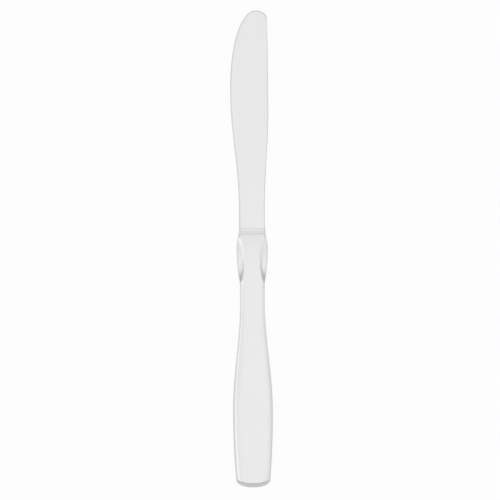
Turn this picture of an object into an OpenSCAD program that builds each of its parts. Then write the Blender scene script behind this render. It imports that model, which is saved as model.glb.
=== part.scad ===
// Table knife with a hollow handle. A forged blade carries a shoulder and a tang.
// The tang passes through a collar and is set in cement between two pressed handle
// halves, which are brazed together along the mid-plane.
// The knife lies on the flat of its back half. X runs across it with the spine at +X,
// Y runs along it with the tip at +Y, and Z is up through its thickness.
// The origin is on the rest plane, under the middle of the knife's length.

/* [Blade] */
// Length of the blade from the shoulder to the tip
blade_length = 96; // [85:0.5:115]
// Width of the blade at its widest
blade_width = 16.8; // [15.5:0.1:19]
// Width of the blade's neck beside the shoulder
neck_width = 11.4; // [10:0.1:12.4]
// Length of the straight neck before the blade swells
neck_length = 9; // [4:0.5:16]
// Distance from the tip back to the blade's widest place
belly_from_tip = 35; // [28:0.5:42]
// Height of the spine's hump above the neck's line
spine_hump = 1.75; // [1:0.05:2.6]
// Distance from the tip back to the top of the spine's hump
hump_from_tip = 43.5; // [36:0.5:50]
// Drop of the spine from its hump to the corner at the tip
spine_drop = 0.45; // [0.2:0.05:1.2]
// Distance of the tip's crest from the handle's axis, toward the spine
tip_offset = 2.3; // [1:0.1:3.5]
// Distance from the tip back to the corner where the spine starts
corner_from_tip = 2.5; // [1.6:0.1:3.4]
// Thickness of the spine beside the shoulder
spine_thickness = 2.4; // [2:0.1:3]
// Thickness of the cutting edge at the widest place
edge_thickness = 0.55; // [0.45:0.05:0.9]
// Thickness of the blade at the tip
tip_thickness = 1.1; // [0.9:0.05:1.5]

/* [Shoulder and collar] */
// Length of the shoulder along the knife
shoulder_length = 1.2; // [0.8:0.1:3]
// Width of the shoulder
shoulder_width = 11.7; // [11.4:0.1:13]
// Thickness of the shoulder
shoulder_thickness = 4.4; // [3.4:0.1:5.2]
// Length of the collar's visible band
collar_length = 1.2; // [0.8:0.1:3]
// Width of the collar
collar_width = 11.8; // [11.4:0.1:13]
// Thickness of the collar
collar_thickness = 5.6; // [4.8:0.1:6.2]
// Depth of the collar's spigot in the handle's mouth
spigot_length = 1.5; // [0.8:0.1:2.5]
// Room between the spigot and the handle's wall
spigot_room = 0.8; // [0.6:0.05:1.2]

/* [Tang] */
// Length of the tang behind the collar's band
tang_length = 48; // [35:0.5:65]
// Width of the tang
tang_width = 6; // [5:0.1:6.6]
// Thickness of the tang
tang_thickness = 2.2; // [1.6:0.1:2.4]
// Radius of the notches that key the tang in the cement
notch_radius = 0.9; // [0.5:0.1:1.4]
// Distance from the tang's end to its last pair of notches
notch_from_end = 6; // [4:0.5:9]
// Distance between the pairs of notches
notch_pitch = 12; // [8:0.5:14]
// Play between the tang and the collar's slot
tang_play = 0.05; // [0.03:0.01:0.1]

/* [Handle] */
// Length of the handle from its mouth to its butt
handle_length = 111.6; // [100:0.5:125]
// Thickness of the handle where it lies on its flat
handle_thickness = 8.4; // [7.6:0.1:10]
// Width of the flat along the front and the back
flat_width = 4; // [3.2:0.1:4.6]
// Width of the handle at its mouth
mouth_width = 11.8; // [11.4:0.1:13]
// Thickness of the handle at its mouth
mouth_thickness = 6.4; // [6.2:0.1:7.2]
// Distance from the mouth to where the handle has its full thickness
rise_length = 20; // [14:0.5:26]
// Width of the narrow waist behind the bolster
waist_width = 10.9; // [10.6:0.1:12.2]
// Distance from the mouth to the waist
waist_from_mouth = 29; // [26:0.2:38]
// Width of the handle at its widest
grip_width = 17.5; // [15:0.1:20]
// Distance from the mouth to the handle's widest place
grip_from_mouth = 78; // [66:0.5:86]
// Width of the handle at the butt, before its corners are rounded
butt_width = 14.4; // [12:0.1:16]
// Length of the rounded end at the butt
butt_length = 3.2; // [2:0.1:6]

/* [Bolster] */
// Length of the bolster from the mouth to the end of the scallops
bolster_length = 21; // [17:0.5:24]
// Width of the bolster's side lobes at their widest
lobe_width = 13.8; // [13.2:0.1:16]
// Distance from the mouth to the widest place of the lobes
lobe_from_mouth = 7; // [6:0.2:11]
// Thickness of the lobes beside the scallops
lobe_thickness = 5.2; // [4.8:0.1:5.8]
// Width of the rounding at the outer side of a lobe
lobe_round = 0.8; // [0.5:0.1:2]
// Width of the handle where the scallops end
bolster_end_width = 11.1; // [10.8:0.1:12.6]
// Width of the raised middle between the scallops
scallop_gap = 8.5; // [7.5:0.1:9.5]

/* [Walls and joints] */
// Wall of the pressed handle halves
wall = 0.9; // [0.6:0.05:1.1]
// Thickness of the braze between the halves
seam_thickness = 0.12; // [0.08:0.01:0.3]
// Bond line between the cement and what it holds
bond_gap = 0.05; // [0.03:0.01:0.15]
// Depth ground off the pressings to make the long flats
flat_grind = 0.02; // [0.01:0.01:0.05]

/* [Hidden] */

overall_length = blade_length + shoulder_length + collar_length + handle_length;
mouth_y = handle_length - overall_length / 2;
blade_root_y = collar_length + shoulder_length;
rest_z = handle_thickness / 2;

// Exponents of the rounded sections and of the rounded ends
band_roundness = 6;
grip_roundness = 4;
tip_roundness = 2.1;
butt_roundness = 2.1;
// Share of the butt's rounding that is left as a small flat at the very end
butt_reach = 0.985;
// How fast the handle narrows from its widest place to the butt
butt_taper = 2.1;
// How fast the handle's rise behind its mouth levels out
rise_levelling = 2.2;
// How quickly the lobes rise from the mid-plane at the ends of a scallop
lobe_rise = 0.3;
// Least share of a lobe that stays level beside its rounding
lobe_level = 0.15;

band_points = 48;
outline_steps = 32;
tip_steps = 10;
flank_steps = 4;
rim_steps = 3;
bolster_steps = 20;
grip_steps = 22;
butt_steps = 8;
notch_sides = 24;
join_overlap = 0.4;
margin = 5;

mouth_half = mouth_width / 2;
lobe_half = lobe_width / 2;
bolster_end_half = bolster_end_width / 2;
waist_half = waist_width / 2;
grip_half = grip_width / 2;
butt_half = butt_width / 2;
pressing_height = handle_thickness / 2 - seam_thickness / 2 + flat_grind;
mouth_height = mouth_thickness / 2 - seam_thickness / 2;

// Rises from 0 to 1 with level ends as t goes from 0 to 1.
function ease(t) = (1 - cos(180 * min(max(t, 0), 1))) / 2;

// Falls from 1 to 0 along a quarter of a rounded square as t goes from 0 to 1.
function rounded(t, roundness) = pow(max(1 - pow(max(t, 0), roundness), 0), 1 / roundness);

// Points round a rounded band section of the given width and thickness.
function band_section(width, thickness) = [
    for (i = [0 : band_points - 1])
        let (a = 360 * i / band_points, c = cos(a), s = sin(a))
        [
            sign(c) * pow(abs(c), 2 / band_roundness) * width / 2,
            sign(s) * pow(abs(s), 2 / band_roundness) * thickness / 2
        ]
];

// Blade outline, with b the distance ahead of the shoulder

neck_half = neck_width / 2;
spine_half = neck_half + spine_hump;
edge_half = blade_width - spine_half;
belly_b = blade_length - belly_from_tip;
hump_b = blade_length - hump_from_tip;
corner_b = blade_length - corner_from_tip;
corner_half = spine_half - spine_drop;

function swelling(b, end_b) = ease((b - neck_length) / (end_b - neck_length));

function edge_x(b) = b < belly_b
    ? -neck_half - (edge_half - neck_half) * swelling(b, belly_b)
    : tip_offset - (edge_half + tip_offset) * rounded((b - belly_b) / belly_from_tip, tip_roundness);

function spine_x(b) = b < hump_b
    ? neck_half + spine_hump * swelling(b, hump_b)
    : spine_half - spine_drop * pow((b - hump_b) / (corner_b - hump_b), 2);

// The tip's arc runs from its crest down to the corner of the spine.
corner_run = corner_half - tip_offset;
tip_radius = (pow(corner_run, 2) + pow(corner_from_tip, 2)) / (2 * corner_from_tip);
tip_sweep = asin(corner_run / tip_radius);

function blade_outline() = concat(
    [
        for (i = [0 : outline_steps])
            let (b = -join_overlap + (belly_b + join_overlap) * i / outline_steps)
            [edge_x(b), b]
    ],
    [
        for (i = [1 : outline_steps])
            let (b = belly_b + belly_from_tip * sin(90 * i / outline_steps))
            [edge_x(b), b]
    ],
    [
        for (i = [1 : tip_steps])
            let (a = tip_sweep * i / tip_steps)
            [tip_offset + tip_radius * sin(a), blade_length - tip_radius * (1 - cos(a))]
    ],
    [
        for (i = [1 : outline_steps])
            let (b = corner_b - (corner_b + join_overlap) * i / outline_steps)
            [spine_x(b), b]
    ]
);

// Both blade faces are flat grinds: the thickness falls evenly from the spine at the
// neck to the edge and to the tip, so three thicknesses fix the plane of a face.
neck_to_belly = [-edge_half - neck_half, belly_b, edge_thickness - spine_thickness];
neck_to_tip = [tip_offset - neck_half, blade_length, tip_thickness - spine_thickness];
grind = cross(neck_to_belly, neck_to_tip);

function blade_thickness(x, b) = spine_thickness - (grind[0] * (x - neck_half) + grind[1] * b) / grind[2];

// Handle, with d the distance behind the mouth

// Half width along the bolster: out to the lobe's widest place, then in again.
function lobe_side(d) =
    let (
        out = d / lobe_from_mouth,
        in = (d - lobe_from_mouth) / (bolster_length - lobe_from_mouth)
    )
    d < lobe_from_mouth ? mouth_half + (lobe_half - mouth_half) * sin(90 * out)
    : lobe_half - (lobe_half - bolster_end_half) * pow(in, 2);

// Half width behind the bolster: in to the waist, out to the grip, in to the butt.
function grip_side(d) =
    let (
        before_waist = (waist_from_mouth - d) / (waist_from_mouth - bolster_length),
        to_grip = (d - waist_from_mouth) / (grip_from_mouth - waist_from_mouth),
        to_butt = (d - grip_from_mouth) / (handle_length - grip_from_mouth)
    )
    d < waist_from_mouth ? waist_half + (bolster_end_half - waist_half) * pow(before_waist, 2)
    : d < grip_from_mouth ? waist_half + (grip_half - waist_half) * ease(to_grip)
    : grip_half - (grip_half - butt_half) * pow(to_butt, butt_taper);

function in_bolster(d) = d > 0 && d < bolster_length;
function handle_side(d) = d < bolster_length ? lobe_side(d) : grip_side(d);

// Along the bolster a parabola cuts the raised middle in from the sides.
function scallop_share(d) = 4 * d / bolster_length * (1 - d / bolster_length);
function core_side(d) =
    let (straight = mouth_half + (bolster_end_half - mouth_half) * d / bolster_length)
    straight - scallop_share(d) * ((mouth_half + bolster_end_half) / 2 - scallop_gap / 2);

// The handle rises most right behind its mouth, then levels out.
function core_height(d) =
    let (to_rise = pow(max(1 - d / rise_length, 0), rise_levelling))
    pressing_height - (pressing_height - mouth_height) * to_rise;
function lobe_height(d, inset) = (lobe_thickness / 2 - inset) * pow(scallop_share(d), lobe_rise);
function butt_share(d) =
    let (into_butt = (d - handle_length + butt_length) / butt_length)
    rounded(butt_reach * into_butt, butt_roundness);

// Point on the rounded flank between the flat's edge (a = 0) and the side (a = 90).
function flank(flat, side, height, a) =
    let (bend = 2 / grip_roundness)
    [flat + (side - flat) * pow(sin(a), bend), height * pow(cos(a), bend)];

// One side of a plain section, from the flat's edge round to the mid-plane.
plain_steps = flank_steps + 1 + rim_steps;
function plain_half(flat, side, height) = [
    for (i = [0 : plain_steps]) flank(flat, side, height, 90 * i / plain_steps)
];

// One side of a bolster section: the flank of the raised middle down to the lobe, the
// level top of the lobe, and the lobe's rounding to the mid-plane.
function bolster_half(flat, core, side, height, lobe) =
    let (
        end_a = acos(pow(lobe / height, grip_roundness / 2)),
        crease = flank(flat, core, height, end_a)[0],
        level_end = max(crease + lobe_level * (side - crease), side - lobe_round)
    )
    concat(
        [for (i = [0 : flank_steps]) flank(flat, core, height, end_a * i / flank_steps)],
        [
            for (i = [0 : rim_steps])
                let (a = 90 * i / rim_steps)
                [level_end + (side - level_end) * sin(a), lobe * cos(a)]
        ]
    );

// Half section at a distance behind the mouth, drawn in from the outside by inset.
// It runs from one side over the flat to the other, as [x, height over the seam].
function half_section(d, inset) =
    let (
        at = d * (handle_length - inset) / handle_length,
        flat = flat_width / 2 - inset,
        side = handle_side(at) - inset,
        height = core_height(at) - inset,
        one_side = in_bolster(at)
            ? bolster_half(flat, core_side(at) - inset, side, height, lobe_height(at, inset))
            : plain_half(flat, side, height),
        last = len(one_side) - 1
    )
    butt_share(d) * concat([for (i = [last : -1 : 0]) [-one_side[i][0], one_side[i][1]]], one_side);

// The section as points in space, over the seam's upper or lower face
function half_ring(d, inset, up) = [
    for (p = half_section(d, inset))
        [p[0], -d * (handle_length - inset) / handle_length, up * (p[1] + seam_thickness / 2)]
];

body_end = handle_length - butt_length;
stations = concat(
    [for (i = [0 : bolster_steps]) bolster_length * i / bolster_steps],
    [for (i = [1 : grip_steps]) bolster_length + (body_end - bolster_length) * i / grip_steps],
    [for (i = [1 : butt_steps]) body_end + butt_length * sin(90 * i / butt_steps)]
);
last_station = len(stations) - 1;
ring_points = len(half_section(0, 0));
last_point = ring_points - 1;

function quad(a, b, c, d) = [[a, b, c], [a, c, d]];
function joined(lists) = [for (list = lists) each list];

// Moves a piece from the mouth of the handle on its mid-plane to its place on the rest plane.
module place() {
    translate([0, mouth_y, rest_z]) children();
}

// Prism of a rounded band section from y = start back to y = start - length
module band(width, thickness, start, length) {
    translate([0, start, 0]) rotate([90, 0, 0])
        linear_extrude(length) polygon(band_section(width, thickness));
}

module tang(play, front) {
    depth = tang_length + front + play;
    translate([-tang_width / 2 - play, -tang_length - play, -tang_thickness / 2 - play])
        cube([tang_width + 2 * play, depth, tang_thickness + 2 * play]);
}

module notched_tang() {
    difference() {
        tang(0, collar_length + join_overlap);
        for (side = [-1, 1], ahead = [0, notch_pitch])
            translate([side * tang_width / 2, -tang_length + notch_from_end + ahead, -tang_thickness])
                cylinder(r = notch_radius, h = 2 * tang_thickness, $fn = notch_sides);
    }
}

// Everything above the plane of the blade's front face
module above_blade() {
    top = spine_thickness * 2;
    left = -edge_half - margin;
    right = spine_half + margin;
    root = -margin;
    tip = blade_length + margin;
    corners = [[left, root], [right, root], [right, tip], [left, tip]];
    polyhedron(
        concat(
            [for (c = corners) [c[0], c[1], blade_thickness(c[0], c[1]) / 2]],
            [for (c = corners) [c[0], c[1], top]]
        ),
        [[0, 1, 2, 3], [7, 6, 5, 4], [0, 4, 5, 1], [1, 5, 6, 2], [2, 6, 7, 3], [3, 7, 4, 0]]
    );
}

module ground_blade() {
    difference() {
        linear_extrude(2 * spine_thickness, center = true) polygon(blade_outline());
        above_blade();
        mirror([0, 0, 1]) above_blade();
    }
}

module blade() {
    color("gainsboro") place() {
        translate([0, blade_root_y, 0]) ground_blade();
        band(shoulder_width, shoulder_thickness, blade_root_y, shoulder_length);
        notched_tang();
    }
}

module spigot() {
    inset = 2 * (wall + spigot_room);
    band(mouth_width - inset, mouth_thickness - inset, join_overlap, spigot_length + join_overlap);
}

module collar() {
    color("silver") place() difference() {
        union() {
            band(collar_width, collar_thickness, collar_length, collar_length);
            spigot();
        }
        tang(tang_play, collar_length + margin);
    }
}

// One pressed half: an outer and an inner skin, joined along the seam, round the mouth
// and at the butt.
module pressed_half() {
    inner = (last_station + 1) * ring_points;
    points = concat(
        joined([for (d = stations) half_ring(d, 0, 1)]),
        joined([for (d = stations) half_ring(d, wall, 1)])
    );
    skin = joined([
        for (s = [0 : last_station - 1], m = [0 : last_point - 1])
            let (a = s * ring_points + m, b = a + ring_points)
            concat(quad(a, a + 1, b + 1, b), quad(inner + a, inner + b, inner + b + 1, inner + a + 1))
    ]);
    seam = joined([
        for (s = [0 : last_station - 1])
            let (a = s * ring_points, b = a + ring_points, e = a + last_point, f = b + last_point)
            concat(quad(a, b, inner + b, inner + a), quad(e, inner + e, inner + f, f))
    ]);
    mouth = joined([for (m = [0 : last_point - 1]) quad(m, inner + m, inner + m + 1, m + 1)]);
    end = last_station * ring_points;
    butt = concat(
        [[for (m = [0 : last_point]) end + m], [for (m = [last_point : -1 : 0]) inner + end + m]],
        quad(end, end + last_point, inner + end + last_point, inner + end)
    );
    polyhedron(points, concat(skin, seam, mouth, butt));
}

// The pressed half with its long flat ground level
module ground_half() {
    difference() {
        pressed_half();
        translate([-grip_half, -handle_length - margin, rest_z])
            cube([grip_width, handle_length + 2 * margin, margin]);
    }
}

module handle_front_shell() {
    color("silver") place() ground_half();
}

module handle_back_shell() {
    color("silver") place() mirror([0, 0, 1]) ground_half();
}

// Outline of the handle's mid-plane along one side, drawn in by inset
function seam_side(inset) = [for (d = stations) let (p = half_ring(d, inset, 1)[last_point]) [p[0], p[1]]];
function flipped(side) = [for (i = [len(side) - 1 : -1 : 0]) [-side[i][0], side[i][1]]];
function reversed(side) = [for (i = [len(side) - 1 : -1 : 0]) side[i]];

module seam_braze() {
    outer = seam_side(0);
    inner = seam_side(wall);
    color("lightgray") place() linear_extrude(seam_thickness, center = true)
        polygon(concat(outer, flipped(outer), reversed(flipped(inner)), reversed(inner)));
}

// The space inside the handle behind the spigot, less the bond line
module cavity_fill() {
    inset = wall + bond_gap;
    front = (spigot_length + bond_gap) * handle_length / (handle_length - inset);
    fill = concat([front], [for (d = stations) if (d > front) d]);
    loop = 2 * ring_points;
    last = len(fill) - 1;
    points = joined([for (d = fill) concat(half_ring(d, inset, 1), reversed(half_ring(d, inset, -1)))]);
    skin = joined([
        for (s = [0 : last - 1], k = [0 : loop - 1])
            let (a = s * loop, b = a + loop, next = (k + 1) % loop)
            k < ring_points ? quad(a + k, a + next, b + next, b + k) : quad(a + next, b + next, b + k, a + k)
    ]);
    ends = joined([
        for (m = [0 : last_point - 1])
            let (under = loop - 1 - m, e = last * loop)
            concat(quad(m, under, under - 1, m + 1), quad(e + m, e + m + 1, e + under - 1, e + under))
    ]);
    polyhedron(points, concat(skin, ends));
}

module tang_cement() {
    color("tan") place() difference() {
        cavity_fill();
        notched_tang();
    }
}

blade();
collar();
handle_front_shell();
handle_back_shell();
seam_braze();
tang_cement();
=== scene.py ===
import bpy
import numpy as np
from mathutils import Matrix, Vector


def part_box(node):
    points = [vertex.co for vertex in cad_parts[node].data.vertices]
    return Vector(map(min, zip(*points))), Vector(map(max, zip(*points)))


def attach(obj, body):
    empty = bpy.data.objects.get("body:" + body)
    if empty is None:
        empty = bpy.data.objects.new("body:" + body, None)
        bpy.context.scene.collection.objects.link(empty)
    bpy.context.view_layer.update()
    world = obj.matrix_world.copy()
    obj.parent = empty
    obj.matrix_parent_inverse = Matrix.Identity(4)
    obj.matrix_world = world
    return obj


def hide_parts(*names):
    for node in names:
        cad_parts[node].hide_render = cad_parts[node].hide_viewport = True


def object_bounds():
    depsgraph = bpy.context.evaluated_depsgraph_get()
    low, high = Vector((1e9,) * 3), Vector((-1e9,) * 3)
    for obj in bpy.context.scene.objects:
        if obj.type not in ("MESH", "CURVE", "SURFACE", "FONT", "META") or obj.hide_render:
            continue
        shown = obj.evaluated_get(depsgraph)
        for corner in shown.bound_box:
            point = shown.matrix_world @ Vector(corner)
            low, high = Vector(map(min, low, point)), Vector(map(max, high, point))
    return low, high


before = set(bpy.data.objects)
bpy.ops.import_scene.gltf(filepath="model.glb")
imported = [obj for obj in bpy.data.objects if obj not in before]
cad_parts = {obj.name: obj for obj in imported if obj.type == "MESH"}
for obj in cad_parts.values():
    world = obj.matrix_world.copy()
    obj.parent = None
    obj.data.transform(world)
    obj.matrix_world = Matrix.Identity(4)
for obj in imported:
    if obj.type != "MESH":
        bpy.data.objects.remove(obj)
cad_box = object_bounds()


# Blade: one stainless steel forging that holds the blade, the rounded shoulder at its root and
# the notched tang. Both faces are ground flat toward a blunt edge and the rim is polished
# round. The tang runs back through the collar and is set in cement inside the handle.
metre = 0.001  # sizes below are in millimetres
blade_low, blade_high = (np.array(corner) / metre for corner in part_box("blade"))
mouth_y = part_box("handle_front_shell")[1].y / metre
collar_front_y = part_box("collar")[1].y / metre
mid_z = (cad_box[0].z + cad_box[1].z) / 2 / metre
shoulder_length = 1.2
shoulder_half = 5.85
shoulder_height = blade_high[2] - mid_z
band_roundness = 6.0
shoulder_round = 0.01
shoulder_crown = 0.07
# Painted shade: the shoulder is darkened all over; it is also made rougher.
shoulder_dull_and_shade = 0.1
root_fillet = 0.03
root_y = collar_front_y + shoulder_length
blade_length = blade_high[1] - root_y
neck_half = 5.7
neck_length = 9.0
edge_half = -blade_low[0]
spine_half = blade_high[0]
belly_from_tip = 35.0
hump_from_tip = 43.5
spine_drop = 0.45
tip_offset = 2.3
tip_roundness = 2.1
corner_from_tip = 2.5
corner_softness = 0.6
corner_soft_reach = 4.0
spine_thickness = 2.4
edge_thickness = 0.55
tip_thickness = 1.1
rim_width = 0.6
rim_land = 0.04
# Painted shade along the blade's rim, strongest on the cutting edge side; it also roughens it.
edge_dull_and_shade = 0.4
spine_dull_and_shade = 0.12
tang_half = 3.0
tang_height = 1.1
notch_radius = 0.9
notches_y = blade_low[1] + np.array([6.0, 18.0])
blade_colour = (0.81, 0.81, 0.812)
blade_roughness = 0.16
blade_lines = (0.14, 14, 0.14)


def ease(t):
    """Rises from 0 to 1 with level ends: half of one minus the cosine of half a turn times t."""
    return (1 - np.cos(np.pi * np.clip(t, 0, 1))) / 2


def rounded(t, roundness):
    """Falls from 1 to 0 along a quarter of a rounded square: t and the result, each to the
    power of roundness, add up to 1."""
    return np.maximum(1 - np.clip(t, 0, 1) ** roundness, 0) ** (1 / roundness)


def edge_line(ahead):
    """X of the cutting edge at a distance ahead of the root: eased from the neck to the belly,
    then a quarter of a rounded square from the belly to the tip's crest."""
    belly = blade_length - belly_from_tip
    swell = -neck_half - (edge_half - neck_half) * ease((ahead - neck_length) / (belly - neck_length))
    sweep = tip_offset - (edge_half + tip_offset) * rounded((ahead - belly) / belly_from_tip, tip_roundness)
    return np.where(ahead < belly, swell, sweep)


def spine_line(ahead):
    """X of the spine: eased from the neck to the hump, then the lesser of a parabola down to the
    corner and a circle from the corner to the tip's crest, softened where they meet."""
    hump, corner = blade_length - hump_from_tip, blade_length - corner_from_tip
    swell = neck_half + (spine_half - neck_half) * ease((ahead - neck_length) / (hump - neck_length))
    fall = spine_half - spine_drop * np.clip((ahead - hump) / (corner - hump), 0, 1) ** 2
    run = spine_half - spine_drop - tip_offset
    radius = (run ** 2 + corner_from_tip ** 2) / (2 * corner_from_tip)
    on_circle = np.clip(ahead - blade_length + radius, 0, radius)
    circle = tip_offset + np.sqrt(radius ** 2 - on_circle ** 2)
    soft = corner_softness * ease(1 - np.abs(ahead - corner) / corner_soft_reach)
    lesser = (fall + circle - np.sqrt((fall - circle) ** 2 + soft ** 2)) / 2
    return np.where(ahead < hump, swell, lesser)


def blade_thickness(x, ahead):
    """Thickness between the flat grinds: the plane through the spine's thickness at the neck,
    the edge's at the belly and the tip's at its crest."""
    belly = blade_length - belly_from_tip
    known = np.array([[neck_half, 0, 1], [-edge_half, belly, 1], [tip_offset, blade_length, 1]])
    across, along, start = np.linalg.solve(known, [spine_thickness, edge_thickness, tip_thickness])
    return across * x + along * ahead + start


def distance_to_rim(x, ahead):
    """Distance of each point from the blade's outline: the least over its short straight runs,
    which close up toward the tip's crest with the square of the distance from it."""
    behind_root, tip_run = 4, 36
    along = np.concatenate([
        np.linspace(-behind_root, blade_length - tip_run, 50),
        blade_length - tip_run * np.linspace(1, 0, 120)[1:] ** 2,
    ])
    outline = np.concatenate([
        np.stack([edge_line(along), along], 1),
        np.stack([spine_line(along), along], 1)[::-1],
    ]).astype(np.float32)
    start, run = outline[:-1], np.diff(outline, axis=0)
    away = np.stack(np.broadcast_arrays(x, ahead), -1).astype(np.float32)[..., None, :] - start
    share = np.clip((away * run).sum(-1) / np.maximum((run ** 2).sum(-1), 1e-9), 0, 1)
    return np.sqrt(((away - share[..., None] * run) ** 2).sum(-1).min(-1))


def bead(length, rim_round, crown):
    """Profile of a short band: distances along it and how far each is drawn in. Both rims are
    quarter rounds and the front half falls off along a parabola."""
    turn = np.linspace(0, np.pi / 2, 7)
    rim_along, rim_in = rim_round * (1 - np.cos(turn)), rim_round * (1 - np.sin(turn))
    middle = np.linspace(rim_round, length - rim_round, 11)[1:-1]
    along = np.concatenate([rim_along, middle, length - rim_along[::-1]])
    drawn_in = np.concatenate([rim_in, 0 * middle, rim_in[::-1]])
    return along, drawn_in + crown * np.clip(2 * along / length - 1, 0, 1) ** 2


def grid_faces(index, round_and_round=False):
    """Four-cornered faces between the rows and columns of a grid of point numbers."""
    if round_and_round:
        index = np.hstack([index, index[:, :1]])
    return np.stack([index[:-1, :-1], index[:-1, 1:], index[1:, 1:], index[1:, :-1]], -1).reshape(-1, 4)


def make_piece(name, points, faces, dull_and_shade):
    """A smooth mesh object from points in millimetres and sets of faces, sharp where faces meet
    at over 35 degrees, with each point's lack of polish and painted shade as one attribute."""
    mesh = bpy.data.meshes.new(name)
    mesh.from_pydata((points * metre).tolist(), [], sum((part.tolist() for part in faces), []))
    mesh.polygons.foreach_set("use_smooth", np.ones(len(mesh.polygons), bool))
    mesh.set_sharp_from_angle(angle=np.radians(35))
    mesh.attributes.new("dull_and_shade", "FLOAT", "POINT").data.foreach_set("value", dull_and_shade.astype(np.float32).ravel())
    piece = bpy.data.objects.new(name, mesh)
    bpy.context.scene.collection.objects.link(piece)
    return piece


def blade_forging():
    """One skin carried from the tang's end to the tip. Each ring runs across the front and
    back across the back, so it is given by X and the half thickness of every column:
    a flat bar with round notches for the tang, a rounded rectangle for the shoulder, and for
    the blade the grind's thickness, rounded off by a quarter ellipse near the outline."""
    rim_columns = 1 - np.cos(np.linspace(0, np.pi / 2, 9))
    middle_columns = np.linspace(0, 1, 19)[1:-1]
    columns = 2 * len(rim_columns) + len(middle_columns)

    in_notch = np.cos(np.linspace(0, np.pi, 17)) * notch_radius
    tang_ends = [blade_low[1], collar_front_y]
    tang_y = np.sort(np.concatenate([tang_ends, *(y + in_notch for y in notches_y)]))[:, None]
    depth = np.sqrt(np.maximum(notch_radius ** 2 - (tang_y - notches_y) ** 2, 0)).sum(1, keepdims=True)
    tang_x = (tang_half - depth) * np.linspace(-1, 1, columns)
    tang_t = np.full_like(tang_x, tang_height)

    along, drawn_in = (part[:, None] for part in bead(shoulder_length, shoulder_round, shoulder_crown))
    around = np.radians(np.linspace(172, 8, columns))
    across = np.sign(np.cos(around)) * np.abs(np.cos(around)) ** (2 / band_roundness)
    shoulder_x = (shoulder_half - drawn_in) * across
    shoulder_t = (shoulder_height - drawn_in) * np.sin(around) ** (2 / band_roundness)

    belly = blade_length - belly_from_tip
    ahead = np.unique(np.round(np.concatenate([
        root_fillet * (1 - np.cos(np.linspace(0, np.pi / 2, 8))),
        np.linspace(root_fillet, belly, 70),
        blade_length - belly_from_tip * np.linspace(1, 0.008, 140) ** 2,
        [blade_length - corner_from_tip],
    ]), 6))[:, None]
    low, high = edge_line(ahead), spine_line(ahead)
    rim = np.minimum(rim_width, 0.45 * (high - low))
    blade_x = np.hstack([
        low + rim * rim_columns,
        low + rim + (high - low - 2 * rim) * middle_columns,
        high - rim * rim_columns[::-1],
    ])
    inside = distance_to_rim(blade_x, ahead)
    blade_t = rim_land + (blade_thickness(blade_x, ahead) / 2 - rim_land) * rounded(1 - inside / rim_width, 2)
    in_fillet = np.clip(root_fillet - ahead, 0, None)
    blade_t = blade_t + root_fillet - np.sqrt(np.maximum(root_fillet ** 2 - in_fillet ** 2, 0))

    x = np.vstack([tang_x, shoulder_x, blade_x])
    t = np.vstack([tang_t, shoulder_t, blade_t])
    y = np.broadcast_to(np.vstack([tang_y, collar_front_y + along, root_y + ahead]), x.shape)
    # Painted shade: the blade's rim is darkened as a dark outline, fading out toward the tip.
    rim_dull_and_shade = np.where(blade_x < tip_offset, edge_dull_and_shade, spine_dull_and_shade)
    rim_dull_and_shade = rim_dull_and_shade * (1 - ease((ahead - belly) / belly_from_tip))
    dull_and_shade = np.vstack([
        np.zeros_like(tang_x),
        np.full_like(shoulder_x, shoulder_dull_and_shade),
        rim_dull_and_shade * np.clip(2 - 2 * inside / rim_width, 0, 1),
    ])
    front_points = np.stack([x, y, mid_z + t], -1)
    back_points = np.stack([x, y, mid_z - t], -1)[:, ::-1]
    points = np.concatenate([front_points, back_points], 1)
    index = np.arange(points.shape[0] * points.shape[1]).reshape(points.shape[:2])
    front, back = index[:, :columns], index[:, columns:][:, ::-1]
    tang_cap = grid_faces(np.stack([back[0], front[0]]))
    tip_cap = grid_faces(np.stack([front[-1], back[-1]]))
    faces = [grid_faces(index, True), tang_cap, tip_cap]
    return points.reshape(-1, 3), faces, np.concatenate([dull_and_shade, dull_and_shade[:, ::-1]], 1)


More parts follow.
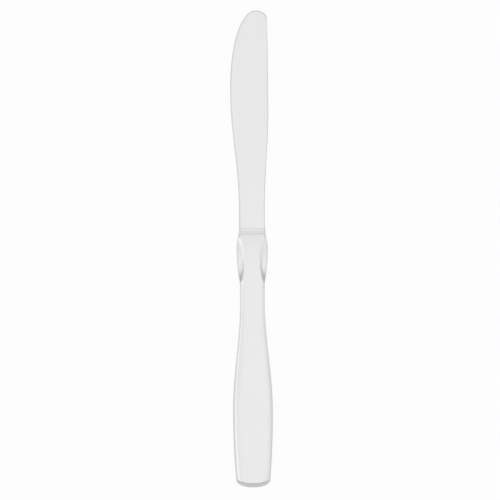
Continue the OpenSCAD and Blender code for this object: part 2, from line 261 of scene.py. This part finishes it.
def polished_steel(name, colour, roughness, line_size):
    """Stainless steel with the marks of polishing and use. Fine lines of the given width and
    length and a few stray scratches give the relief, a soft cloudiness moves tone and gloss,
    and the places in the dull attribute are rougher and carry painted shade, a darker colour."""
    # Painted shade: how dark the dull places are painted.
    dull_painted_shade, relief_depth = 0.55, 6e-6
    material = bpy.data.materials.new(name)
    material.use_nodes = True
    nodes, links = material.node_tree.nodes, material.node_tree.links
    shader = nodes["Principled BSDF"]
    shader.inputs["Metallic"].default_value = 1.0
    place = nodes.new("ShaderNodeTexCoord")
    dull_and_shade = nodes.new("ShaderNodeAttribute")
    dull_and_shade.attribute_name = "dull_and_shade"

    def noise(size, turned=0.0, detail=2.0):
        lie = nodes.new("ShaderNodeMapping")
        lie.vector_type = "TEXTURE"
        lie.inputs["Scale"].default_value = np.array(size) * metre
        lie.inputs["Rotation"].default_value = (0, 0, np.radians(turned))
        links.new(place.outputs["Object"], lie.inputs["Vector"])
        texture = nodes.new("ShaderNodeTexNoise")
        texture.inputs["Scale"].default_value = 1.0
        texture.inputs["Detail"].default_value = detail
        links.new(lie.outputs["Vector"], texture.inputs["Vector"])
        return texture.outputs["Fac"]

    def spread(value, low, high, to_low, to_high):
        reach = nodes.new("ShaderNodeMapRange")
        reach.inputs["From Min"].default_value = low
        reach.inputs["From Max"].default_value = high
        reach.inputs["To Min"].default_value = to_low
        reach.inputs["To Max"].default_value = to_high
        links.new(value, reach.inputs["Value"])
        return reach.outputs["Result"]

    def both(how, first, second):
        sum_up = nodes.new("ShaderNodeMath")
        sum_up.operation = how
        links.new(first, sum_up.inputs[0])
        links.new(second, sum_up.inputs[1])
        return sum_up.outputs["Value"]

    def blend(share, first, second):
        mix = nodes.new("ShaderNodeMix")
        mix.data_type = "RGBA"
        mix.inputs["B"].default_value = (*(second * c for c in colour), 1)
        if isinstance(first, float):
            mix.inputs["A"].default_value = (*(first * c for c in colour), 1)
        else:
            links.new(first, mix.inputs["A"])
        links.new(share, mix.inputs["Factor"])
        return mix.outputs["Result"]

    cloud = noise((11, 17, 11), detail=3.0)
    lines = noise(line_size)
    scratches = both(
        "ADD",
        spread(noise((0.11, 9, 0.11), turned=31), 0.69, 0.76, 0, 1),
        spread(noise((0.12, 11, 0.12), turned=-48), 0.70, 0.77, 0, 1),
    )
    tone = blend(spread(both("ADD", cloud, lines), 0.7, 1.3, 0, 1), 0.985, 1.015)
    # Painted shade: the base colour is darkened where the dull attribute is high.
    links.new(blend(dull_and_shade.outputs["Fac"], tone, dull_painted_shade), shader.inputs["Base Color"])

    clouded = spread(cloud, 0.3, 0.7, 0.85 * roughness, 1.15 * roughness)
    lined = spread(lines, 0.3, 0.7, -0.1 * roughness, 0.1 * roughness)
    scratched = spread(scratches, 0, 1, 0, 0.5 * roughness)
    dulled = spread(dull_and_shade.outputs["Fac"], 0, 1, 0, roughness)
    gloss = both("ADD", both("ADD", both("ADD", clouded, lined), scratched), dulled)
    links.new(gloss, shader.inputs["Roughness"])

    relief = nodes.new("ShaderNodeBump")
    relief.inputs["Strength"].default_value = 1.0
    relief.inputs["Distance"].default_value = relief_depth
    links.new(both("SUBTRACT", lines, scratches), relief.inputs["Height"])
    links.new(relief.outputs["Normal"], shader.inputs["Normal"])
    return material


blade = make_piece("blade_forging", *blade_forging())
blade_steel = polished_steel("blade_satin_steel", blade_colour, blade_roughness, blade_lines)
blade.data.materials.append(blade_steel)
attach(blade, "root")
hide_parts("blade")


# Collar: a thin turned band of the same steel between the shoulder and the handle. Its spigot
# sits in the handle's mouth and its slot is pushed over the tang before the handle is filled.
collar_length = collar_front_y - mouth_y
collar_half = 5.9
collar_height = 2.8
collar_round = 0.01
collar_crown = 0.02
# Painted shade: the collar band is darkened all over; it is also made rougher.
collar_dull_and_shade = 0.14
spigot_length = 1.5
spigot_half = 4.2
spigot_height = 1.5
spigot_roundness = 3.0
spigot_chamfer = 0.12
slot_half = 3.05
slot_height = 1.15
slot_roundness = 10.0
# Painted shade: a little darker than the blade's and the handle's steel.
collar_colour = (0.78, 0.78, 0.782)
collar_roughness = 0.18
collar_lines = (16, 0.14, 16)


def collar_ring():
    """A closed profile carried round the tang: the slot's back end, the spigot, the crowned
    band, and the slot's front end. Every ring is a rounded rectangle with its own half width,
    half thickness and roundness."""
    along, drawn_in = bead(collar_length, collar_round, collar_crown)
    slot = np.array([slot_half, slot_height, slot_roundness])
    spigot = np.array([spigot_half, spigot_height, spigot_roundness])
    band = np.array([collar_half, collar_height, band_roundness])
    inward = np.array([1.0, 1.0, 0.0])
    spigot_y = [-spigot_length, -spigot_length, spigot_chamfer - spigot_length, 0]
    y = np.concatenate([spigot_y, along, [collar_length]])
    shape = np.vstack([
        slot,
        spigot - spigot_chamfer * inward,
        spigot,
        spigot,
        band - drawn_in[:, None] * inward,
        slot,
    ])
    half_width, half_height, roundness = shape.T[..., None]
    around = np.linspace(0, 2 * np.pi, 128, endpoint=False)
    across, up = np.cos(around), np.sin(around)
    x = half_width * np.sign(across) * np.abs(across) ** (2 / roundness)
    z = half_height * np.sign(up) * np.abs(up) ** (2 / roundness)
    points = np.stack([x, np.broadcast_to(mouth_y + y[:, None], x.shape), mid_z + z], -1)
    index = np.arange(points.shape[0] * points.shape[1]).reshape(points.shape[:2])
    faces = [grid_faces(np.vstack([index, index[:1]]), True)[:, ::-1]]
    return points.reshape(-1, 3), faces, np.full(x.size, collar_dull_and_shade)


collar = make_piece("collar_band", *collar_ring())
collar_steel = polished_steel("collar_turned_steel", collar_colour, collar_roughness, collar_lines)
collar.data.materials.append(collar_steel)
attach(collar, "root")
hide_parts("collar")


# Handle halves: two thin stainless pressings, front and back alike, that make the hollow
# handle. Scallops pinch the bolster, the waist follows, and the grip swells to a bevelled
# butt. The halves are brazed along the mid-plane and the long flats are ground level.
handle_length = mouth_y - cad_box[0].y / metre
seam_half = (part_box("seam_braze")[1].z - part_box("seam_braze")[0].z) / 2 / metre
top_height = (cad_box[1].z - cad_box[0].z) / 2 / metre - seam_half
wall = 0.9
flat_half = 2.0
flat_grind = 0.02
flank_roundness = 4.0
mouth_half = 5.9
mouth_height = 3.2 - seam_half
mouth_roundness = 8.0
mouth_lip = 0.11
mouth_crown = 0.07
mouth_crown_length = 0.8
rise_length = 20.0
rise_levelling = 2.2
bolster_length = 21.0
bolster_end_half = 5.55
lobe_half = 6.9
lobe_from_mouth = 7.0
lobe_height = 2.6
lobe_rise = 0.5
lobe_rise_from = 3.0
lobe_rise_run = 8.0
lobe_round = 0.6
least_lobe = 0.05
level_share = 0.2
scallop_from_mouth = 1.5
scallop_length = 20.1
scallop_half = 4.15
scallop_run_in = 0.18
slope_width = 1.3
slope_narrowing = 0.35
slope_narrowing_run = 5.0
slope_hollow = 1.3
crease_sag = 0.08
crease_fillet = 0.16
crease_fillet_width = 0.5
# Painted shade in the scallops: the slope toward the crease, the lobe and its rim darken toward the bolster's
# end.
scallop_dull_and_shade = 0.05
crease_shade_from = 8.5
crease_shade_run = 10.0
lobe_shade_from = 14.5
lobe_shade_run = 5.5
rim_shade_share = 0.7
waist_half = 5.45
waist_from_mouth = 29.0
grip_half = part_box("handle_front_shell")[1].x / metre
grip_from_mouth = 78.0
# Partly wear, partly painted shade: the grip's edges toward the butt are rougher and darker.
edge_wear_and_shade = 0.4
edge_shade_width = 0.9
edge_shade_from = 50.0
edge_shade_run = 20.0
butt_half = 7.2
butt_taper = 2.1
butt_length = 3.2
butt_roundness = 2.1
butt_reach = 0.985
butt_bevel = 2.4
bevel_roundness = 1.5
butt_land = 0.04
# Painted shade: the butt's bevel darkens toward the end; it is also made rougher.
butt_dull_and_shade_strength = 0.5
butt_shade_run = 0.6
handle_colour = (0.81, 0.81, 0.812)
handle_roughness = 0.14
handle_lines = (0.2, 25, 0.2)


def handle_side(d):
    """Half width at a distance behind the mouth: a quarter sine out to the lobes, a parabola in
    to the bolster's end and the waist, eased out to the grip, then a power curve to the butt."""
    out = mouth_half + (lobe_half - mouth_half) * np.sin(np.clip(d / lobe_from_mouth, 0, 1) * np.pi / 2)
    past_lobe = (d - lobe_from_mouth) / (bolster_length - lobe_from_mouth)
    back = lobe_half - (lobe_half - bolster_end_half) * past_lobe ** 2
    to_waist = (waist_from_mouth - d) / (waist_from_mouth - bolster_length)
    waist = waist_half + (bolster_end_half - waist_half) * to_waist ** 2
    past_waist = (d - waist_from_mouth) / (grip_from_mouth - waist_from_mouth)
    swell = waist_half + (grip_half - waist_half) * ease(past_waist)
    to_butt = np.clip((d - grip_from_mouth) / (handle_length - grip_from_mouth), 0, 1)
    taper = grip_half - (grip_half - butt_half) * to_butt ** butt_taper
    return np.select(
        [d < lobe_from_mouth, d < bolster_length, d < waist_from_mouth, d < grip_from_mouth],
        [out, back, waist, swell],
        taper,
    )


# A row of the skin runs from the middle over the flat, the slope and the lobe to the rim.
flat_columns = np.linspace(0, 1, 4)
slope_columns, lobe_columns, rim_columns = (np.linspace(0, 1, n + 1)[1:] for n in (26, 12, 16))


def plain_rows(flat, side, height, roundness):
    """X and height of rows that cross the flat and then a flank that is a quarter of a rounded
    square. The slope's columns take the upper part of the flank."""
    upper = np.radians(62)
    lower_columns = np.linspace(0, 1, len(lobe_columns) + len(rim_columns) + 1)[1:]
    turn = np.concatenate([upper * slope_columns ** 1.5, upper + (np.pi / 2 - upper) * lower_columns])
    x = np.hstack([flat * flat_columns, flat + (side - flat) * np.sin(turn) ** (2 / roundness)])
    flank_share = np.maximum(np.cos(turn), 0) ** (2 / roundness)
    return x, height * np.hstack([np.ones((len(side), len(flat_columns))), flank_share])


def scalloped_rows(d, drawn_in, flat, side, height):
    """X, height, dullness with painted shade, and strength of rows through the bolster: the flat, a
    slope that falls along a power curve to the crease, the lobe beside it with a parabola as its
    fillet, and the lobe's quarter-ellipse rim. The crease follows a parabola over the scallop's
    length."""
    along = np.clip((d - scallop_from_mouth) / scallop_length, 0, 1)
    bite = 4 * along * (1 - along)
    start_half = handle_side(np.array(scallop_from_mouth))
    straight = start_half + (bolster_end_half - start_half) * along
    crease = straight - bite * ((start_half + bolster_end_half) / 2 - scallop_half) - drawn_in
    crease = np.minimum(crease, side - least_lobe)
    narrowed = 1 - slope_narrowing * ease((d - lobe_from_mouth) / slope_narrowing_run)
    slope_start = np.maximum(crease - slope_width * narrowed, flat)
    lobe = lobe_height - drawn_in + lobe_rise * ease((d - lobe_rise_from) / lobe_rise_run)

    level, falling = slope_columns[:8], slope_columns[8:]
    slope_x = np.hstack([
        flat + (slope_start - flat) * level / level[-1],
        slope_start + (crease - slope_start) * (falling - level[-1]) / (1 - level[-1]),
    ])
    down = np.clip((slope_x - slope_start) / (crease - slope_start), 0, 1)
    sag = crease_sag * ((slope_x - flat) / (crease - flat)) ** 2
    slope_h = height - sag - (height - crease_sag - lobe - crease_fillet) * down ** slope_hollow

    rim_start = np.maximum(crease + level_share * (side - crease), side - lobe_round)
    lobe_x = crease + (rim_start - crease) * lobe_columns ** 1.5
    in_fillet = np.clip(1 - (lobe_x - crease) / crease_fillet_width, 0, 1)
    lobe_h = lobe + crease_fillet * in_fillet ** 2
    rim_x = rim_start + (side - rim_start) * np.sin(rim_columns * np.pi / 2)
    rim_h = lobe_h[:, -1:] * np.cos(rim_columns * np.pi / 2)

    # Painted shade: darker toward the crease and over the lobe, growing toward the bolster's end, and rougher
    # there too.
    deepening = 1 - scallop_dull_and_shade
    crease_dull_and_shade = scallop_dull_and_shade + deepening * ease((d - crease_shade_from) / crease_shade_run)
    lobe_dull_and_shade = scallop_dull_and_shade + deepening * ease((d - lobe_shade_from) / lobe_shade_run)
    x = np.hstack([flat * flat_columns, slope_x, lobe_x, rim_x])
    h = np.hstack([height + 0 * flat_columns, slope_h, lobe_h, rim_h])
    dull_and_shade = np.hstack([
        0 * (d + flat_columns),
        crease_dull_and_shade * down ** 2,
        lobe_dull_and_shade + 0 * lobe_columns,
        rim_shade_share * lobe_dull_and_shade + 0 * rim_columns,
    ])
    return x, h, dull_and_shade, ease(bite / scallop_run_in)


def butt_rows(rows, x, flat, side, height):
    """X, height and distance from the end of rows near the butt: they narrow along a rounded
    square, and a bevel along another one follows the end's outline."""
    into_butt = butt_reach * (rows - handle_length + butt_length) / butt_length
    x = x * rounded(into_butt, butt_roundness)
    end_d = handle_length - butt_length + butt_length / butt_reach * rounded(x / side, butt_roundness)
    to_end = np.minimum(end_d, handle_length) - rows
    h = height * rounded((x - flat) / (side - flat), flank_roundness)
    return x, h * np.maximum(rounded(1 - to_end / butt_bevel, bevel_roundness), butt_land), to_end


def half_skin(inset, lip):
    """Skin of one half as X, distance behind the mouth, height over the seam and dullness with
    painted shade, drawn in from the outside by inset. Its rows are plain, carried over into
    scalloped ones in the bolster and into the butt's at the end. The height rises along a power
    curve behind the mouth, which has a quarter-round lip and a short crown, and the long flat is
    cut level."""
    t = np.linspace(0, 1, 120)
    last_run = 6.0
    rows = np.unique(np.round(np.concatenate([
        mouth_lip * (1 - np.cos(np.linspace(0, np.pi / 2, 8))),
        mouth_lip + (bolster_length - mouth_lip) * (t + ease(t)) / 2,
        np.linspace(bolster_length, handle_length - last_run, 70),
        handle_length - last_run * np.linspace(1, 0, 70) ** 1.5,
    ]), 6))[:, None]
    d = rows * (handle_length - inset) / handle_length
    lip_in = lip - np.sqrt(np.maximum(lip ** 2 - np.clip(lip - d, 0, lip) ** 2, 0))
    drawn_in = inset + lip_in
    flat = flat_half - drawn_in
    side = handle_side(d) - drawn_in
    rise = 1 - np.clip(1 - d / rise_length, 0, 1) ** rise_levelling
    crown = mouth_crown * np.clip(1 - d / mouth_crown_length, 0, 1) ** 2
    height = mouth_height + (top_height + flat_grind - mouth_height) * rise - crown - drawn_in
    roundness = mouth_roundness + (flank_roundness - mouth_roundness) * ease(d / bolster_length)

    x, h = plain_rows(flat, side, height, roundness)
    scalloped_x, scalloped_h, dull_and_shade, pinched = scalloped_rows(d, drawn_in, flat, side, height)
    x = x + (scalloped_x - x) * pinched
    h = h + (scalloped_h - h) * pinched
    dull_and_shade = dull_and_shade * pinched

    butt_x, butt_h, to_end = butt_rows(rows, x, flat, side, height)
    in_butt = rows > handle_length - butt_length - butt_bevel - 0.5
    x = np.where(in_butt, butt_x, x)
    h = np.where(in_butt, butt_h, h)
    # Partly wear, partly painted shade: the grip's edges toward the butt are made rougher and darker.
    near_edge = np.clip(1 - (side - x) / edge_shade_width, 0, 1)
    dull_and_shade = dull_and_shade + edge_wear_and_shade * ease((d - edge_shade_from) / edge_shade_run) * near_edge
    # Painted shade: the butt's bevel darkens toward the end, and is roughened too.
    butt_dull_and_shade = butt_dull_and_shade_strength * ease((butt_bevel - to_end) / butt_shade_run)
    dull_and_shade = np.where(in_butt, np.maximum(dull_and_shade, butt_dull_and_shade), dull_and_shade)
    h = np.minimum(h, top_height - inset)
    h[:, -1] = 0
    d = np.broadcast_to(d, x.shape)
    one_side = ((-1, x), (1, d), (1, h), (1, dull_and_shade))
    return tuple(np.hstack([sign * part[:, :0:-1], part])[::-1] for sign, part in one_side)


def pressed_half(up):
    """One closed pressing over (up 1) or under (up -1) the seam: the outer skin, the inner skin
    one wall further in, and the strips that join them at the mouth, the seam and the butt."""
    skins = zip(half_skin(0.0, mouth_lip), half_skin(wall, 0.0))
    x, d, h, dull_and_shade = (np.stack(pair) for pair in skins)
    points = np.stack([x, mouth_y - d, mid_z + up * (h + seam_half)], -1)
    outer, inner = np.arange(x.size).reshape(x.shape)
    faces = [
        grid_faces(outer),
        grid_faces(inner)[:, ::-1],
        grid_faces(np.stack([outer[-1], inner[-1]])),
        grid_faces(np.stack([outer[:, 0], inner[:, 0]], 1))[:, ::-1],
        grid_faces(np.stack([outer[:, -1], inner[:, -1]], 1)),
        outer[:1, ::-1],
        inner[:1],
        np.array([[outer[0, 0], inner[0, 0], inner[0, -1], outer[0, -1]]]),
    ]
    if up < 0:
        faces = [part[:, ::-1] for part in faces]
    return points.reshape(-1, 3), faces, dull_and_shade


handle_steel = polished_steel("handle_bright_steel", handle_colour, handle_roughness, handle_lines)
for node, up in (("handle_front_shell", 1), ("handle_back_shell", -1)):
    half = make_piece(node.replace("shell", "pressing"), *pressed_half(up))
    half.data.materials.append(handle_steel)
    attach(half, "root")
    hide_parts(node)


# Seam: a thread of silver braze that runs round the handle between the two halves. It is
# melted in from the side and dressed flush, so it shows only as a hairline on the flanks.
seam_depth = 0.015
seam_colour = (0.77, 0.76, 0.73)
seam_roughness = 0.24
seam_grain = (1, 1, 1)


def braze_strip():
    """A strip carried from the mouth round the butt and back: its section is a thin rectangle
    as wide as the wall, with the outer face a hair below the steel."""
    outer_x, outer_d = (part[:, -1] for part in half_skin(seam_depth, 0.0)[:2])
    inner_x, inner_d = (part[:, -1] for part in half_skin(wall, 0.0)[:2])
    side_x = np.stack([outer_x, outer_x, inner_x, inner_x], 1)
    side_d = np.stack([outer_d, outer_d, inner_d, inner_d], 1)
    x = np.concatenate([side_x[::-1], -side_x])
    d = np.concatenate([side_d[::-1], side_d])
    z = np.broadcast_to(mid_z + seam_half * np.array([1, -1, -1, 1]), x.shape)
    points = np.stack([x, mouth_y - d, z], -1)
    index = np.arange(x.size).reshape(x.shape)
    faces = [grid_faces(index, True)[:, ::-1], index[:1], index[-1:, ::-1]]
    return points.reshape(-1, 3), faces, np.zeros(x.size)


seam = make_piece("braze_strip", *braze_strip())
seam_metal = polished_steel("dressed_silver_braze", seam_colour, seam_roughness, seam_grain)
seam.data.materials.append(seam_metal)
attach(seam, "root")
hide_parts("seam_braze")


# Cement: the resin that fills the hollow handle and grips the notched tang. It is poured in
# through the mouth and sets hard, and nothing of it shows once the collar is on.
cement_colour = (0.6, 0.53, 0.41)
cement_roughness = 0.8
grit_scale = 900
grit_depth = 0.0002
cement = bpy.data.materials.new("set_resin_cement")
cement.use_nodes = True
nodes, links = cement.node_tree.nodes, cement.node_tree.links
cement_shader = nodes["Principled BSDF"]
cement_shader.inputs["Roughness"].default_value = cement_roughness
place = nodes.new("ShaderNodeTexCoord")
grit = nodes.new("ShaderNodeTexNoise")
grit.inputs["Scale"].default_value = grit_scale
grit.inputs["Detail"].default_value = 4
links.new(place.outputs["Object"], grit.inputs["Vector"])
tint = nodes.new("ShaderNodeMix")
tint.data_type = "RGBA"
tint.inputs["A"].default_value = (*(0.85 * c for c in cement_colour), 1)
tint.inputs["B"].default_value = (*(1.1 * c for c in cement_colour), 1)
links.new(grit.outputs["Fac"], tint.inputs["Factor"])
links.new(tint.outputs["Result"], cement_shader.inputs["Base Color"])
grain = nodes.new("ShaderNodeBump")
grain.inputs["Strength"].default_value = 0.5
grain.inputs["Distance"].default_value = grit_depth
links.new(grit.outputs["Fac"], grain.inputs["Height"])
links.new(grain.outputs["Normal"], cement_shader.inputs["Normal"])
filler = bpy.data.objects["tang_cement"]
filler.data.materials.clear()
filler.data.materials.append(cement)


# Table: a plain white sheet under the knife, lit softly from above. To the lens it is white
# with a faint shadow, and the steel sees it a little less bright.
table_half = 5.0  # metres
table_drop = 2e-5  # metres
table_corners = 9
paper_grey = 0.9
seen_white = 0.94
mirrored_white = 0.35
table_mesh = bpy.data.meshes.new("white_sheet")
table_line = np.linspace(-table_half, table_half, table_corners)
corner_x, corner_y = np.meshgrid(table_line, table_line)
table_points = np.stack([corner_x, corner_y, np.full_like(corner_x, -table_drop)], -1).reshape(-1, 3)
table_faces = grid_faces(np.arange(table_corners ** 2).reshape(table_corners, table_corners))
table_mesh.from_pydata(table_points.tolist(), [], table_faces.tolist())
table = bpy.data.objects.new("white_sheet", table_mesh)
bpy.context.scene.collection.objects.link(table)
paper = bpy.data.materials.new("white_paper")
paper.use_nodes = True
nodes, links = paper.node_tree.nodes, paper.node_tree.links
nodes.remove(nodes["Principled BSDF"])
lit = nodes.new("ShaderNodeBsdfDiffuse")
lit.inputs["Color"].default_value = (paper_grey, paper_grey, paper_grey, 1)
white = nodes.new("ShaderNodeEmission")
white.inputs["Color"].default_value = (1, 1, 1, 1)
white.inputs["Strength"].default_value = 1.0
ray = nodes.new("ShaderNodeLightPath")
seen = nodes.new("ShaderNodeMath")
seen.operation = "MULTIPLY"
seen.inputs[1].default_value = seen_white
links.new(ray.outputs["Is Camera Ray"], seen.inputs[0])
mirrored = nodes.new("ShaderNodeMath")
mirrored.operation = "MAXIMUM"
links.new(ray.outputs["Is Glossy Ray"], mirrored.inputs[0])
links.new(ray.outputs["Is Transmission Ray"], mirrored.inputs[1])
whiteness = nodes.new("ShaderNodeMath")
whiteness.operation = "MULTIPLY_ADD"
whiteness.inputs[1].default_value = mirrored_white
links.new(mirrored.outputs["Value"], whiteness.inputs[0])
links.new(seen.outputs["Value"], whiteness.inputs[2])
sheet = nodes.new("ShaderNodeMixShader")
links.new(whiteness.outputs["Value"], sheet.inputs["Fac"])
links.new(lit.outputs["BSDF"], sheet.inputs[1])
links.new(white.outputs["Emission"], sheet.inputs[2])
links.new(sheet.outputs["Shader"], nodes["Material Output"].inputs["Surface"])
table_mesh.materials.append(paper)


# Light: a white tent over the table, white overhead. Its left side is bright, most of all in
# the near corner, the right side is a little weaker, and the near and far ends stay dark low
# down.
tent = bpy.data.worlds.new("white_tent")
bpy.context.scene.world = tent
tent.use_nodes = True
nodes, links = tent.node_tree.nodes, tent.node_tree.links
toward = nodes.new("ShaderNodeTexCoord")
height = nodes.new("ShaderNodeSeparateXYZ")
links.new(toward.outputs["Generated"], height.inputs["Vector"])
level = nodes.new("ShaderNodeVectorMath")
level.operation = "MULTIPLY"
level.inputs[1].default_value = (1, 1, 0)
links.new(toward.outputs["Generated"], level.inputs[0])
bearing = nodes.new("ShaderNodeVectorMath")
bearing.operation = "NORMALIZE"
links.new(level.outputs["Vector"], bearing.inputs[0])
side_on = nodes.new("ShaderNodeSeparateXYZ")
links.new(bearing.outputs["Vector"], side_on.inputs["Vector"])


def tent_side(*stops):
    """Brightness of one side of the tent from the table (0) to straight overhead (1)."""
    ramp = nodes.new("ShaderNodeValToRGB")
    ramp.color_ramp.interpolation = "EASE"
    while len(ramp.color_ramp.elements) < len(stops):
        ramp.color_ramp.elements.new(1.0)
    for element, (position, brightness) in zip(ramp.color_ramp.elements, stops):
        element.position = position
        element.color = (brightness, brightness, brightness, 1)
    links.new(height.outputs["Z"], ramp.inputs["Fac"])
    return ramp.outputs["Color"]


def hang(first, second, axis, low, high):
    """Carries the first side over into the second between two bearings along an axis."""
    share = nodes.new("ShaderNodeMapRange")
    share.interpolation_type = "SMOOTHSTEP"
    share.inputs["From Min"].default_value = low
    share.inputs["From Max"].default_value = high
    links.new(side_on.outputs[axis], share.inputs["Value"])
    mix = nodes.new("ShaderNodeMix")
    mix.data_type = "RGBA"
    links.new(share.outputs["Result"], mix.inputs["Factor"])
    links.new(first, mix.inputs["A"])
    links.new(second, mix.inputs["B"])
    return mix.outputs["Result"]


left = tent_side((0, 1.02), (0.1, 1.06), (0.5, 1.06), (0.85, 0.95), (0.975, 0.965), (1, 1.02))
left_corner = tent_side((0, 1.15), (0.7, 1.19), (0.92, 0.98), (1, 1.02))
right = tent_side((0, 0.84), (0.3, 0.9), (0.7, 0.95), (1, 1.02))
right_corner = tent_side((0, 0.9), (0.5, 0.95), (0.85, 0.98), (1, 1.02))
far = tent_side((0, 0.5), (0.35, 0.55), (0.75, 0.82), (0.97, 0.94), (1, 1.02))
near = tent_side((0, 0.68), (0.35, 0.7), (0.8, 0.95), (1, 1.02))
sides = hang(left, right, "X", -0.2, 0.2)
corners = hang(left_corner, right_corner, "X", -0.2, 0.2)
tent_light = hang(corners, sides, "Y", -0.3, -0.02)
tent_light = hang(tent_light, far, "Y", 0.1, 0.32)
tent_light = hang(near, tent_light, "Y", -0.95, -0.5)
links.new(tent_light, nodes["Background"].inputs["Color"])
nodes["Background"].inputs["Strength"].default_value = 1.0


# Camera: straight above the knife with a long lens, so that the sheet fills the frame. It is
# turned so that the tip leans a hair left.
lens = 200.0
sensor = 36.0
view_width = 220.2
camera_x = -0.95
camera_y = -0.45
lean = np.radians(-0.29)
camera_data = bpy.data.cameras.new("overhead_camera")
camera_data.lens = lens
camera_data.sensor_width = sensor
camera_data.clip_end = 50
camera = bpy.data.objects.new("overhead_camera", camera_data)
bpy.context.scene.collection.objects.link(camera)
stand_off = view_width * lens / sensor
camera_place = np.array([camera_x, camera_y, mid_z + stand_off]) * metre
camera.matrix_world = Matrix.Translation(camera_place) @ Matrix.Rotation(lean, 4, "Z")
bpy.context.scene.camera = camera
bpy.context.scene.view_settings.view_transform = "Standard"
